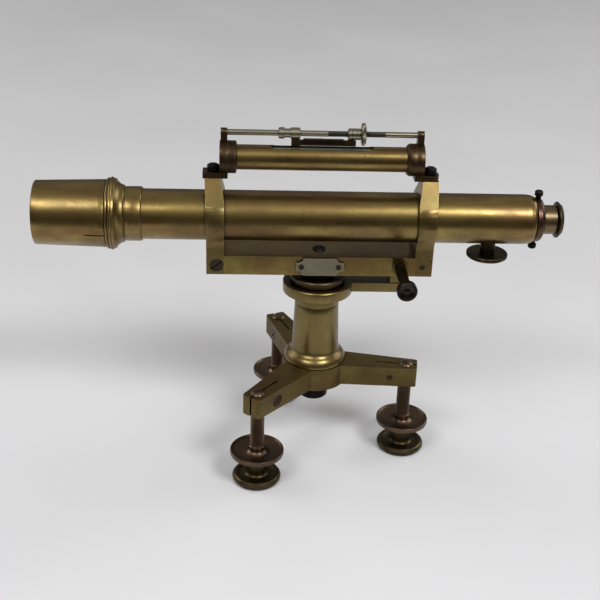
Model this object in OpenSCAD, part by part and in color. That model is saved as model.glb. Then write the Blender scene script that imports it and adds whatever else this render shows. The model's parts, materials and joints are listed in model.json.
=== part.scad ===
// Surveying level: a telescope held in two wyes on a beam, with a spirit vial above it,
// turning on a spindle in the column of a three-armed base with three levelling screws.
// +Z is up along the spindle, +X runs along the telescope towards the eyepiece, and the
// origin is the mouth of the threaded hole that a tripod screw enters from below.

/* [Base] */
// Radius of the circle that the levelling screws stand on
foot_circle_r = 60.7; // [56:0.1:72]
// Height of the hub's top above the ground
stand_h = 64; // [62:0.5:72]
// Height of the hub
hub_h = 14.8; // [14:0.1:18]
// Radius of the hub
hub_r = 20.8; // [20.4:0.1:25]
// Height of an arm
arm_h = 13.3; // [9:0.1:13.3]
// Step from the hub's top down to the arms' top
arm_step = 0.6; // [0.2:0.1:1.4]
// Width of an arm at the hub
arm_root_w = 20.6; // [18:0.1:26]
// Width of an arm at its outer end
arm_end_w = 13.4; // [11.6:0.1:16]
// Reach of an arm past the middle of its levelling screw
arm_overhang = 7.2; // [6.4:0.1:10]
// Radius of the rounded corners at an arm's outer end
arm_corner_r = 1.6; // [0.4:0.1:2.4]
// Direction of the arm that points to the right
arm_angle = -8.3; // [-30:0.1:30]
// Width of the saw cut that lets an arm's end clamp its screw
slit_w = 1.3; // [0.6:0.1:1.6]
// Length of the saw cut inward from the middle of the screw
slit_run = 20; // [16:0.5:24]
// Distance of an arm's clamp screw inward from the levelling screw
clamp_inset = 10.2; // [9:0.1:13]
// Radius of an arm's clamp screw
clamp_screw_r = 1.9; // [1.5:0.1:2.6]
// Radius of the clamp screw's slotted head
clamp_head_r = 4.1; // [3:0.1:4.5]

/* [Tripod nut] */
// Radius of the black nut under the hub
nut_r = 9.5; // [8.6:0.1:9.9]
// Drop of the nut below the hub
nut_drop = 13.2; // [12:0.1:18]
// Radius of the threaded hole for the tripod screw
tripod_hole_r = 5; // [4:0.1:6]
// Depth of the threaded hole
tripod_hole_depth = 11; // [8:0.5:11.5]

/* [Levelling screws] */
// Radius of a levelling screw's shaft
screw_r = 4.4; // [3:0.1:4.5]
// Radius of a levelling screw's knob
knob_r = 17.1; // [14:0.1:19]
// Thickness of the knob's rim
knob_rim_h = 3.7; // [3:0.1:4.5]
// Height of the knob's top above the ground
knob_top = 22.9; // [22:0.1:26]
// Radius of a foot plate
plate_r = 15.6; // [14:0.1:18]
// Thickness of a foot plate's rim
plate_rim_h = 5.4; // [4.4:0.1:6]
// Radius of a foot plate's neck
plate_neck_r = 6.2; // [5.6:0.1:7]
// Height of a foot plate with its neck
plate_h = 13.4; // [12.4:0.1:14.5]
// Radius of the round head on top of a levelling screw
head_r = 4.6; // [4.5:0.1:5.6]
// Height of that head
head_h = 2.2; // [1.5:0.1:4]

/* [Column] */
// Height of the column above the hub
column_h = 48.5; // [40:0.1:60]
// Radius of the column under the collar
column_top_r = 14.1; // [13.4:0.1:15]
// Radius of the column above its foot bead
column_foot_r = 15.3; // [14.2:0.1:16.2]
// Radius of the bead round the column's foot
bead_r = 20.2; // [18.5:0.1:20.3]
// Height of that bead
bead_h = 8; // [6:0.1:8.1]
// Height of the raised band at the column's top
band_h = 7.5; // [4:0.1:12]
// Radius of the column's tenon, in the hub below and in the collar above
tenon_r = 11; // [10.2:0.1:12]
// Radius of the spindle
spindle_r = 6; // [5:0.1:6.5]

/* [Clamp collar] */
// Radius of the collar
collar_r = 22.2; // [19.5:0.1:24]
// Height of the collar
collar_h = 6.9; // [6:0.1:9]
// Width of the slow-motion arm
slow_arm_w = 14.4; // [13.8:0.1:16]
// Height of the slow-motion arm
slow_arm_h = 6; // [4:0.1:6]

/* [Spindle head] */
// Radius of the spindle's head
disc_r = 17.5; // [14:0.1:20]
// Height of the spindle's head
disc_h = 4.5; // [3:0.1:6]
// Radius of the neck under the beam
neck_r = 10.5; // [9:0.1:12]
// Height of the neck under the beam
neck_h = 4.1; // [3:0.1:6]

/* [Beam] */
// Height of the beam
beam_h = 12.4; // [11.8:0.1:15]
// Width of the beam
beam_w = 26.6; // [25:0.1:29]
// Width of the tongue at each end of the beam
tongue_w = 13; // [10:0.1:15]
// Length of the nameplate
nameplate_l = 29.6; // [24:0.1:34]
// Height of the nameplate
nameplate_h = 11.6; // [9:0.1:11.6]
// Thickness of the nameplate
nameplate_t = 1.6; // [0.5:0.1:2]

/* [Slow motion] */
// Distance of the tangent screw from the spindle
tangent_x = 50.2; // [46:0.1:51.5]
// Radius of the tangent screw's thread
tangent_r = 2.5; // [2:0.1:2.6]
// Radius of the tangent screw outside the beam
tangent_shaft_r = 3.6; // [3:0.1:4]
// Radius of the tangent screw's knob
tangent_knob_r = 6.2; // [5:0.1:8]
// Thickness of the tangent screw's knob
tangent_knob_h = 5.4; // [4:0.1:8]
// Reach of the tangent screw in front of the beam
tangent_reach = 36; // [24:0.1:40]
// Swing of the beam to each side that the slot in the beam leaves room for, in degrees
swing = 2.5; // [1:0.1:2.7]

/* [Wyes] */
// Distance of each wye's middle from the spindle
wye_x = 64.9; // [63:0.1:72]
// Thickness of a wye
wye_t = 11; // [9.5:0.1:12]
// Radius of a wye's ring
ring_r = 18.5; // [17.6:0.1:19.5]
// Height of the pad on a wye above the telescope's axis
pad_rise = 25.2; // [24:0.1:28]
// Width of that pad
pad_w = 9.4; // [9:0.1:12]
// Thickness of a wye at its pad
pad_t = 9.8; // [9:0.1:11]
// Reach of the pad past the wye's outer face
pad_out = 1.1; // [0.2:0.1:2]
// Radius of the curve between a wye's ring and its foot
wye_fillet_r = 12; // [6:0.5:20]
// Radius of the head of the objective wye's pivot screw
pivot_head_r = 4.4; // [3.5:0.1:5]
// Radius of the head of the eyepiece wye's lock screw
lock_head_r = 1.9; // [1.6:0.1:3]

/* [Telescope] */
// Height of the telescope's axis above the beam
axis_rise = 22; // [20:0.1:26]
// Radius of the main tube
tube_r = 15.6; // [15.2:0.1:16]
// Wall of the main tube
tube_wall = 1.2; // [0.8:0.1:1.4]
// Distance from the spindle to the objective cell's rear end
tube_front = 109.6; // [90:0.1:130]
// Distance from the spindle to the main tube's rear end
tube_back = 127.5; // [125:0.1:140]
// Length of the guide bush's lip behind the tube
bush_lip = 5.3; // [2.5:0.1:6]

/* [Objective] */
// Length of the objective cell without its front sleeve
cell_l = 21.4; // [20.5:0.1:26]
// Wall of the cell round the main tube
cell_wall = 1.17; // [0.9:0.01:1.6]
// Wall of the cell's front sleeve round the lens
sleeve_wall = 1.77; // [1.4:0.01:2.1]
// Length of the cell's front sleeve
sleeve_l = 11; // [8:0.1:14]
// Radius of the objective lens
lens_r = 17.5; // [16.5:0.1:17.8]
// Length of the sunshade
hood_l = 43.6; // [30:0.1:60]
// Wall of the sunshade at its rear
hood_back_wall = 1.55; // [1.2:0.01:1.8]
// Difference between the sunshade's radii at its rear and at its front
hood_taper = 1.2; // [0.4:0.1:1.8]
// Wall of the sunshade at its front
hood_wall = 1; // [0.7:0.1:1.2]
// Length of the spring slit in the sunshade
hood_slit_l = 12; // [6:0.5:16]
// Width of that slit
hood_slit_w = 0.8; // [0.5:0.1:1.2]

/* [Draw tube] */
// Wall of the guide bush that carries the draw tube
bush_wall = 1.52; // [1.2:0.01:2.1]
// Wall of the draw tube
draw_wall = 1; // [0.8:0.1:1.4]
// Length of the draw tube
draw_l = 62.1; // [60:0.1:80]
// Wall of the reticle ring round the draw tube
reticle_ring_wall = 1.07; // [0.8:0.01:2.1]
// Length of the reticle ring
reticle_ring_l = 5.6; // [5.4:0.1:9]
// Reach of a reticle screw's head past the reticle ring
reticle_screw_out = 5.2; // [4.2:0.1:8]

/* [Eyepiece] */
// Radius of the eyepiece sleeve
eye_sleeve_r = 9.1; // [8.8:0.1:10]
// Length of the sleeve that shows
eye_sleeve_l = 8.6; // [7:0.1:14]
// Radius of the eyepiece tube
eye_r = 8; // [7:0.1:8.2]
// Radius of the eyepiece's cap
eye_cap_r = 11.3; // [10:0.1:14]
// Thickness of the eyepiece's cap
eye_cap_l = 3.3; // [2.4:0.1:5]
// Radius of the hole that the eye looks through
eye_hole_r = 3.2; // [2:0.1:4.5]

/* [Focusing] */
// Distance of the focusing pinion from the main tube's rear end
pinion_inset = 20.5; // [18.5:0.1:23.5]
// Tooth size of rack and pinion: pitch diameter divided by the number of teeth
tooth_module = 0.5; // [0.45:0.01:0.55]
// Number of teeth on the pinion
pinion_teeth = 12; // [11:1:13]
// Radius of the focusing knob
focus_knob_r = 13; // [9:0.1:16]
// Thickness of the focusing knob's rim
focus_knob_h = 2.9; // [2.4:0.1:5]
// Radius of the pinion's bush
pinion_bush_r = 4.7; // [4:0.1:6]
// Reach of the pinion's bush below the main tube
pinion_bush_l = 7.8; // [5:0.1:10]
// Travel of the draw tube
focus_travel = 25; // [10:0.5:26]

/* [Vial] */
// Height of the vial's axis above the telescope's axis
vial_rise = 37.6; // [37.5:0.1:44]
// Shift of the vial with its brackets towards the eyepiece
vial_shift = -0.6; // [-1:0.1:1]
// Distance from the vial's middle to the inner face of a bracket's round plate
vial_half = 56.9; // [55.4:0.1:57.2]
// Radius of the vial's brass tube
vial_r = 7.6; // [7:0.1:7.8]
// Wall of that tube
vial_wall = 0.9; // [0.6:0.1:1.2]
// Length of the window in the tube
window_l = 62.4; // [40:0.5:80]
// Width of that window
window_w = 8.4; // [6:0.1:9]
// Radius of the glass vial
glass_r = 6.4; // [5.8:0.1:6.6]
// Length of the glass vial
glass_l = 84; // [60:0.5:96]
// Radius of the end collars and of the brackets' round plates
vial_end_r = 9.9; // [9:0.1:10.2]
// Length of an end collar
vial_collar_l = 5.4; // [4.8:0.1:8]
// Thickness of a bracket's round plate
bracket_t = 4.9; // [4:0.1:4.9]
// Thickness of a bracket's foot
bracket_foot_h = 3.8; // [3:0.1:5]
// Reach of a bracket's foot from the vial's middle
bracket_reach = 72.1; // [70.5:0.1:74]
// Radius of the heads of the screws that hold the brackets
bracket_head_r = 3.8; // [3:0.1:3.8]
// Height of those heads
bracket_head_h = 4.1; // [3:0.1:6]

/* [Mirror] */
// Height of the rod above the vial's axis
rod_rise = 15.5; // [15.4:0.1:18]
// Radius of the rod
rod_r = 1.75; // [1.4:0.05:2]
// Length of the mirror frame
frame_l = 39; // [30:0.5:50]
// Thickness of the mirror frame
frame_t = 2; // [1.5:0.1:3]
// Reach of the mirror frame below the rod's axis
frame_drop = 7.4; // [6:0.1:7.4]
// Radius of the hubs on the rod
rod_hub_r = 3.4; // [3:0.1:4]
// Radius of the thumb nut on the rod
thumb_nut_r = 6.8; // [5:0.1:7]
// Thickness of the thumb nut
thumb_nut_l = 3.3; // [2:0.1:5]

/* [Fits] */
// Radial gap where a shaft turns or slides in its hole
fit = 0.05; // [0.03:0.01:0.08]
// Gap between faces that pass each other
run_gap = 0.3; // [0.25:0.05:0.35]
// Radial gap between pieces that are joined for good
seat = 0.03; // [0.02:0.01:0.05]

/* [Hidden] */
$fn = 72;

// Colours
brass = "#9a8248";
dark_brass = "#5d4c2e";
bronze = "#6e4e3e";
black_steel = "#24241f";
nickel_silver = "#b9b6a4";
clear_glass = "#cfe0dc";
silvered_glass = "#8d8d86";
cork = "#a98f66";

// Directions of the arms: a is at the front left, b at the right, c at the back left
angle_a = arm_angle + 240;
angle_b = arm_angle;
angle_c = arm_angle + 120;

// Heights of the base, the collar and the beam
hub_z0 = nut_drop;
hub_z1 = hub_z0 + hub_h;
ground_z = hub_z1 - stand_h;
arm_z1 = hub_z1 - arm_step;
arm_z0 = arm_z1 - arm_h;
column_z1 = hub_z1 + column_h;
collar_z0 = column_z1 + run_gap;
collar_z1 = collar_z0 + collar_h;
disc_z0 = collar_z1 + run_gap;
disc_z1 = disc_z0 + disc_h;
beam_z0 = disc_z1 + neck_h;
beam_z1 = beam_z0 + beam_h;
axis_z = beam_z1 + axis_rise;
pad_z = axis_z + pad_rise;
vial_z = axis_z + vial_rise;
rod_z = vial_z + rod_rise;

// Base
hole_over = 1;
arm_end = foot_circle_r + arm_overhang;
clamp_z = arm_z1 - arm_h / 2 - 0.5;
clamp_r = foot_circle_r - clamp_inset;
clamp_head_y1 = arm_half(clamp_r) - 0.2;
clamp_head_y0 = clamp_head_y1 - 2.6;
cavity_r = 8;
cavity_h = 10.1;
nut_spigot_h = 3.5;
spindle_nut_r = 6.5;
spindle_nut_h = 3.8;
stud_r = 3.5;
beam_spigot_h = 8;
spindle_screw_r = 3;
socket_depth = 7.4;

// Slow motion: a post on the collar's arm stands in a slot in the beam
post_w = 8.8;
slow_arm_front = 5;
post_x0 = tangent_x - post_w / 2;
post_x1 = tangent_x + post_w / 2;
nut_post_r = 3.4;
tangent_z = beam_z0 + 6;
post_z1 = tangent_z + 3.6;
slot_y = (post_x1 + 1) * sin(swing) + post_w / 2 + run_gap;
slot_x = post_w / 2 * (1 + sin(swing)) + 2 * run_gap;
pilot_end = beam_w / 2 - 3.3;
thrust_r = 4.1;
thrust_l = 1.6;
bush_r = 4.9;
bush_lip_h = 1;
bush_spigot_r = 4.2;
journal_r = 2.7;
knob_socket_z = 2.6;

// Beam and wyes
wye_x0 = wye_x - wye_t / 2;
wye_x1 = wye_x + wye_t / 2;
nameplate_screw_x = nameplate_l / 2 - 3.2;
nameplate_head_r = 1.6;
nameplate_shank_r = 1;
pivot_shank_r = 2.4;
lock_shank_r = 1.2;
wye_head_l = 1.8;
wye_screw_x = wye_x - 0.8;
fastener_z = beam_z0 + beam_h * 0.49;

// Telescope, measured along +X
tube_bore = tube_r - tube_wall;
cell_r = tube_r + seat + cell_wall;
sleeve_r = lens_r + seat + sleeve_wall;
hood_back_r = sleeve_r + fit + hood_back_wall;
hood_front_r = hood_back_r - hood_taper;
bush_end = tube_back + bush_lip;
draw_r = tube_bore - seat - bush_wall - fit;
reticle_ring_r = draw_r + seat + reticle_ring_wall;
reticle_shank_r = 1.2;
reticle_stem_r = 1.7;
reticle_head_r = 2.6;
cell_front = -tube_front - cell_l;
cell_socket_l = 11.3;
lens_seat_u = 15.6;
flint_l = 2.2;
cement_gap = 0.05;
inner_curve_r = 90;
outer_curve_r = 110;
crown_l = 6;
reticle_x0 = bush_end + run_gap;
reticle_x1 = reticle_x0 + reticle_ring_l;
reticle_screw_x = reticle_x0 + 2.2;
draw_x1 = reticle_screw_x - reticle_shank_r - 0.3;
draw_x0 = draw_x1 - draw_l;
eye_end = reticle_x1 + eye_sleeve_l;

// Focusing
pinion_x = tube_back - pinion_inset;
pitch_r = tooth_module * pinion_teeth / 2;
tooth_pitch = PI * tooth_module;
tip = 0.9 * tooth_module;
root = 1.2 * tooth_module;
rack_h = 2.4;
rack_l = focus_travel + 8;
rack_back_y = -(pitch_r + 3);
rack_sunk = 0.1;
rack_z0 = -sqrt(pow(draw_r - rack_sunk, 2) - rack_back_y * rack_back_y);
rack_x0 = pinion_x - rack_l + 4;
pinion_shaft_r = 2.2;
pinion_spigot_r = 4.15;
bush_z = -tube_r - pinion_bush_l;
knob_floor_z = bush_z - run_gap;
knob_top_z = knob_floor_z + 1.2;

// Vial and mirror
bracket_screw_x = wye_x + 1.4;
collar_x0 = vial_half - vial_collar_l;
tube_in_collar = 4.4;
finger_r = 2.6;
bracket_shank_r = 2.2;
plug_l = 5;
hub_bore = rod_r + fit;
frame_x0 = -frame_l / 2;
frame_x1 = frame_l / 2;
frame_top = -rod_r - run_gap;
frame_ear = 5;
frame_chamfer = 2;
frame_lip = 0.8;
mirror_depth = 0.9;

// Points along an arc, from angle a0 to angle a1
function arc(x, y, r, a0, a1, n = 8) =
    [for (i = [0:n]) let (a = a0 + (a1 - a0) * i / n) [x + r * cos(a), y + r * sin(a)]];

// Points along a lens face of radius r_curve, from the axis to height h
function lens_face(r_curve, h, u, side, n = 8) =
    [for (i = [0:n]) let (y = h * i / n)
        [y, u + side * (r_curve - sqrt(r_curve * r_curve - y * y))]];

// The same list in the other order
function reversed(list) = [for (i = [len(list) - 1:-1:0]) list[i]];

// A turned piece: points are [radius, height]
module turned(points) {
    rotate_extrude() polygon(points);
}

// Places a turned piece on the telescope's axis, pointing to the eyepiece or the objective
module to_eye(x) {
    translate([x, 0, axis_z]) rotate([0, 90, 0]) children();
}

module to_objective(x) {
    translate([x, 0, axis_z]) rotate([0, -90, 0]) children();
}

// A cylinder along X from x0 to x1
module rod_x(x0, x1, r, z) {
    translate([x0, 0, z]) rotate([0, 90, 0]) cylinder(h = x1 - x0, r = r);
}

// A cylinder along Y from y0 to y1
module rod_y(y0, y1, r, x, z) {
    translate([x, y0, z]) rotate([-90, 0, 0]) cylinder(h = y1 - y0, r = r);
}

// A ring between two heights
module ring(z0, z1, r_out, r_in) {
    difference() {
        translate([0, 0, z0]) cylinder(h = z1 - z0, r = r_out);
        translate([0, 0, z0 - hole_over]) cylinder(h = z1 - z0 + 2 * hole_over, r = r_in);
    }
}

// A box from one corner to the other
module block(p0, p1) {
    translate(p0) cube(p1 - p0);
}

// Base

// Half the width of an arm at distance r from the spindle
function arm_half(r) =
    (arm_end_w + (arm_root_w - arm_end_w) * (arm_end - r) / (arm_end - hub_r)) / 2;

module arm_plan() {
    x = arm_end - arm_corner_r;
    y = arm_half(arm_end) - arm_corner_r;
    polygon(concat([[0, -arm_half(0)]], arc(x, -y, arm_corner_r, -85, 0, 5),
                   arc(x, y, arm_corner_r, 0, 85, 5), [[0, arm_half(0)]]));
}

module arm_cuts() {
    translate([foot_circle_r, 0, arm_z0 - hole_over])
        cylinder(h = arm_h + 2 * hole_over, r = screw_r + fit);
    block([foot_circle_r - slit_run, -slit_w / 2, arm_z0 - hole_over],
          [arm_end + hole_over, slit_w / 2, arm_z1 + hole_over]);
    rod_y(-arm_root_w, arm_root_w, clamp_screw_r + seat, clamp_r, clamp_z);
    rod_y(clamp_head_y0 - seat, arm_root_w, clamp_head_r + seat, clamp_r, clamp_z);
}

module tribrach() {
    color(brass) difference() {
        union() {
            translate([0, 0, hub_z0]) cylinder(h = hub_h, r = hub_r);
            for (a = [angle_a, angle_b, angle_c])
                rotate([0, 0, a]) translate([0, 0, arm_z0]) linear_extrude(arm_h) arm_plan();
        }
        translate([0, 0, hub_z0 - hole_over])
            cylinder(h = hub_h + 2 * hole_over, r = tenon_r + seat);
        for (a = [angle_a, angle_b, angle_c]) rotate([0, 0, a]) arm_cuts();
    }
}

module column() {
    bead_z = hub_z1 + bead_h;
    bead_arc_r = bead_h - 0.8;
    band_z = column_z1 - band_h;
    color(brass) difference() {
        turned(concat(
            [[0, hub_z0], [tenon_r, hub_z0], [tenon_r, hub_z1], [bead_r - 0.5, hub_z1]],
            arc(bead_r - bead_arc_r, hub_z1 + 0.3, bead_arc_r, 0, 60, 7),
            [[column_foot_r + 0.2, bead_z], [column_foot_r, bead_z + 0.6]],
            [[column_top_r, band_z - 0.5]],
            [[column_top_r - 0.3, band_z], [column_top_r + 0.3, band_z + 0.6]],
            [[column_top_r + 0.2, column_z1], [tenon_r, column_z1]],
            [[tenon_r, collar_z1 - run_gap], [0, collar_z1 - run_gap]]
        ));
        translate([0, 0, hub_z0 - hole_over])
            cylinder(h = collar_z1 - hub_z0 + hole_over, r = spindle_r + fit);
        translate([0, 0, hub_z0 - hole_over]) cylinder(h = cavity_h + hole_over, r = cavity_r);
    }
}

// The slotted heads lie flush in the arms, and the rounded tails stand out on the other side
module arm_clamp_screws() {
    tail_y = -arm_half(clamp_r) - 0.7;
    slot_half = 0.5;
    slot_depth = 0.9;
    color(bronze) for (a = [angle_a, angle_b, angle_c]) rotate([0, 0, a]) difference() {
        translate([clamp_r, tail_y, clamp_z]) rotate([-90, 0, 0])
            turned([[0, 0], [clamp_screw_r - 0.9, 0.1], [clamp_screw_r - 0.2, 0.5],
                    [clamp_screw_r, 1.1], [clamp_screw_r, clamp_head_y0 - tail_y],
                    [clamp_head_r, clamp_head_y0 - tail_y], [clamp_head_r, clamp_head_y1 - tail_y],
                    [0, clamp_head_y1 - tail_y]]);
        translate([clamp_r, clamp_head_y1, clamp_z]) rotate([0, 35, 0])
            cube([4 * clamp_head_r, 2 * slot_depth, 2 * slot_half], center = true);
    }
}

module tripod_nut() {
    color(black_steel) difference() {
        turned([[0, 0], [nut_r - 0.8, 0], [nut_r, 0.8], [nut_r, hub_z0],
                [cavity_r - seat, hub_z0], [cavity_r - seat, hub_z0 + nut_spigot_h],
                [0, hub_z0 + nut_spigot_h]]);
        translate([0, 0, -hole_over])
            cylinder(h = tripod_hole_depth + hole_over, r = tripod_hole_r);
    }
}

// Levelling screws and their foot plates

module at_foot(angle) {
    rotate([0, 0, angle]) translate([foot_circle_r, 0, ground_z]) children();
}

module foot_plate(angle) {
    rim = plate_rim_h / 2;
    dish_z = plate_rim_h - 0.9;
    sweep = 2.6;
    socket_floor = plate_h - socket_depth;
    color(dark_brass) at_foot(angle) difference() {
        turned(concat(
            [[0, 0]],
            arc(plate_r - rim, rim, rim, -90, 90),
            [[plate_r - rim - 1, plate_rim_h - 0.3], [plate_r - rim - 2.2, dish_z]],
            arc(plate_neck_r + sweep, dish_z + sweep, sweep, 270, 180),
            [[plate_neck_r, plate_h], [0, plate_h]]
        ));
        translate([0, 0, socket_floor]) cylinder(h = plate_h, r = screw_r + fit);
    }
}

module foot_screw(angle) {
    lip_r = 0.7;
    rim_z = knob_top - knob_rim_h;
    tip_z = plate_h - socket_depth + run_gap;
    shoulder = plate_h + run_gap;
    head_z = stand_h - arm_step + run_gap;
    dome_r = (head_r * head_r + head_h * head_h) / (2 * head_h);
    dome_a = asin((dome_r - head_h) / dome_r);
    color(bronze) at_foot(angle) turned(concat(
        [[0, tip_z], [screw_r - 1, tip_z], [screw_r, tip_z + 1], [screw_r, shoulder]],
        [[screw_r + 1.4, shoulder], [screw_r + 1.4, shoulder + 1.2]],
        [[knob_r - 4.8, rim_z - 0.5], [knob_r - 1.7, rim_z], [knob_r - 0.6, rim_z + 0.3]],
        [[knob_r, rim_z + 1.1]],
        arc(knob_r - lip_r, knob_top - lip_r, lip_r, 0, 150, 6),
        [[knob_r - 1.8, knob_top - 0.7], [knob_r - 3.2, knob_top - 1.1]],
        [[screw_r + 4.6, knob_top - 2.2]],
        [[screw_r + 2.2, knob_top - 1.7], [screw_r + 1.3, knob_top - 0.8]],
        [[screw_r + 0.8, knob_top - 0.4], [screw_r + 0.8, knob_top + 2.6]],
        [[screw_r, knob_top + 3.1], [screw_r, head_z], [head_r, head_z]],
        arc(0, head_z + head_h - dome_r, dome_r, dome_a, 90)
    ));
}

module foot_plate_a() { foot_plate(angle_a); }
module foot_plate_b() { foot_plate(angle_b); }
module foot_plate_c() { foot_plate(angle_c); }
module foot_screw_a() { foot_screw(angle_a); }
module foot_screw_b() { foot_screw(angle_b); }
module foot_screw_c() { foot_screw(angle_c); }

// Clamp collar with its slow-motion arm, and the tangent screw

module clamp_collar() {
    color(brass) difference() {
        union() {
            turned([[0, collar_z0], [collar_r - 0.3, collar_z0], [collar_r, collar_z0 + 0.3],
                    [collar_r, collar_z1 - 0.6], [collar_r - 0.6, collar_z1], [0, collar_z1]]);
            block([0, -slow_arm_front, collar_z1 - slow_arm_h],
                  [post_x1, slow_arm_w - slow_arm_front, collar_z1]);
            block([post_x0, -post_w / 2, collar_z1 - 1], [post_x1, post_w / 2, post_z1]);
        }
        translate([0, 0, collar_z0 - hole_over])
            cylinder(h = collar_h + 2 * hole_over, r = tenon_r + fit);
        translate([tangent_x, 0, collar_z1 + 1]) cylinder(h = beam_h * 2, r = nut_post_r + fit);
        rod_y(-post_w, post_w, tangent_r + 0.4, tangent_x, tangent_z);
    }
}

module tangent_nut() {
    half = 3.3;
    color(brass) difference() {
        translate([tangent_x, 0, tangent_z - half]) cylinder(h = 2 * half, r = nut_post_r);
        rod_y(-post_w, post_w, tangent_r + 2 * fit, tangent_x, tangent_z);
    }
}

module tangent_bush() {
    face = -beam_w / 2;
    spigot_end = -slot_y - thrust_l - run_gap * 2;
    color(dark_brass) difference() {
        union() {
            rod_y(face - bush_lip_h, face, bush_r, tangent_x, tangent_z);
            rod_y(face, spigot_end, bush_spigot_r, tangent_x, tangent_z);
        }
        rod_y(face - bush_lip_h - hole_over, spigot_end + hole_over, journal_r + fit,
              tangent_x, tangent_z);
    }
}

module tangent_screw() {
    face = -beam_w / 2 - bush_lip_h - run_gap;
    thrust_y = -slot_y - thrust_l - run_gap;
    knob_y = -beam_w / 2 - tangent_reach + tangent_knob_h;
    shaft_l = face - knob_y;
    color(bronze) union() {
        translate([tangent_x, knob_y, tangent_z]) rotate([-90, 0, 0])
            turned([[0, 0], [tangent_shaft_r - 0.7, 0], [tangent_shaft_r, shaft_l - 8],
                    [tangent_shaft_r, shaft_l - 0.5], [tangent_shaft_r - 0.5, shaft_l],
                    [0, shaft_l]]);
        rod_y(face - 0.1, thrust_y, journal_r, tangent_x, tangent_z);
        rod_y(thrust_y, thrust_y + thrust_l, thrust_r, tangent_x, tangent_z);
        rod_y(thrust_y, pilot_end - run_gap, tangent_r, tangent_x, tangent_z);
        rod_y(knob_y - tangent_knob_h + knob_socket_z, knob_y + 0.1, tangent_r, tangent_x,
              tangent_z);
    }
}

module tangent_knob() {
    h = tangent_knob_h;
    r = tangent_knob_r;
    knob_y = -beam_w / 2 - tangent_reach;
    color(bronze) translate([tangent_x, knob_y, tangent_z]) rotate([-90, 0, 0]) difference() {
        turned([[0, 0.9], [1.1, 1.2], [2.2, 1.6], [r - 1.6, 0.7], [r - 1.1, 0], [r - 0.5, 0],
                [r, 0.6], [r, h - 1.2], [r - 0.8, h - 0.4], [tangent_shaft_r + 0.4, h], [0, h]]);
        translate([0, 0, knob_socket_z - seat]) cylinder(h = h, r = tangent_r + seat);
    }
}

// Spindle and beam

module spindle() {
    spigot_h = beam_spigot_h;
    nut_z1 = hub_z0 + cavity_h - run_gap;
    color(brass) difference() {
        turned([
            [0, nut_z1 - spindle_nut_h - 1], [stud_r, nut_z1 - spindle_nut_h - 1],
            [stud_r, nut_z1], [spindle_r, nut_z1], [spindle_r, disc_z0],
            [disc_r - 0.4, disc_z0], [disc_r, disc_z0 + 0.4], [disc_r, disc_z1 - 0.8],
            [disc_r - 0.8, disc_z1], [neck_r, disc_z1], [neck_r, beam_z0],
            [cavity_r, beam_z0], [cavity_r, beam_z0 + spigot_h], [0, beam_z0 + spigot_h]
        ]);
        translate([0, 0, beam_z0 - 2])
            cylinder(h = spigot_h + 2 + hole_over, r = spindle_screw_r + seat);
    }
}

module spindle_nut() {
    z1 = hub_z0 + cavity_h - run_gap;
    color(dark_brass) ring(z1 - spindle_nut_h, z1, spindle_nut_r, stud_r + seat);
}

module spindle_screw() {
    slot_half = 0.5;
    low_head_h = 0.9;
    low_head_r = 4.3;
    color(black_steel) difference() {
        union() {
            translate([0, 0, beam_z0 - 1.5]) cylinder(h = beam_h + 1.5, r = spindle_screw_r);
            translate([0, 0, beam_z1]) cylinder(h = low_head_h, r1 = low_head_r, r2 = 3.8);
        }
        block([-low_head_r, -slot_half, beam_z1 + low_head_h / 2],
              [low_head_r, slot_half, beam_z1 + 2 * low_head_h]);
    }
}

module beam() {
    color(brass) difference() {
        union() {
            block([-wye_x0, -beam_w / 2, beam_z0], [wye_x0, beam_w / 2, beam_z1]);
            block([-wye_x1, -tongue_w / 2, beam_z0], [wye_x1, tongue_w / 2, beam_z1]);
        }
        translate([0, 0, beam_z0 - hole_over])
            cylinder(h = beam_spigot_h + hole_over + seat, r = cavity_r + seat);
        translate([0, 0, beam_z0]) cylinder(h = beam_h + hole_over, r = spindle_screw_r + seat);
        block([tangent_x - slot_x, -slot_y, beam_z0 - hole_over],
              [tangent_x + slot_x, slot_y, post_z1 + run_gap]);
        rod_y(-beam_w / 2 - hole_over, 0, bush_spigot_r + seat, tangent_x, tangent_z);
        rod_y(0, pilot_end, tangent_r + fit, tangent_x, tangent_z);
        for (side = [-1, 1])
            rod_y(-beam_w / 2 - hole_over, -beam_w / 2 + 4, nameplate_shank_r + seat,
                  side * nameplate_screw_x, beam_z0 + beam_h / 2);
        rod_y(-beam_w, beam_w, pivot_shank_r + seat, -wye_screw_x, fastener_z);
        rod_y(-beam_w, beam_w, lock_shank_r + seat, wye_screw_x, fastener_z);
    }
}

module nameplate() {
    half_l = nameplate_l / 2;
    half_h = nameplate_h / 2;
    notch_r = 3.8;
    face = -beam_w / 2;
    color(nickel_silver) translate([0, face, beam_z0 + beam_h / 2]) rotate([90, 0, 0])
        linear_extrude(nameplate_t) difference() {
            square([nameplate_l, nameplate_h], center = true);
            for (x = [-1, 1], y = [-1, 1])
                translate([x * (half_l - 0.6), y * (half_h + 0.7)]) circle(r = notch_r);
            for (x = [-1, 1])
                translate([x * nameplate_screw_x, 0]) circle(r = nameplate_shank_r + seat);
        }
}

module nameplate_screws() {
    face = -beam_w / 2 - nameplate_t;
    color(black_steel) for (side = [-1, 1]) {
        x = side * nameplate_screw_x;
        z = beam_z0 + beam_h / 2;
        difference() {
            union() {
                rod_y(face - 0.6, face, nameplate_head_r, x, z);
                rod_y(face, face + 4, nameplate_shank_r, x, z);
            }
            block([x - 2, face - 1, z - 0.25], [x + 2, face - 0.3, z + 0.25]);
        }
    }
}

// Wyes

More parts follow.
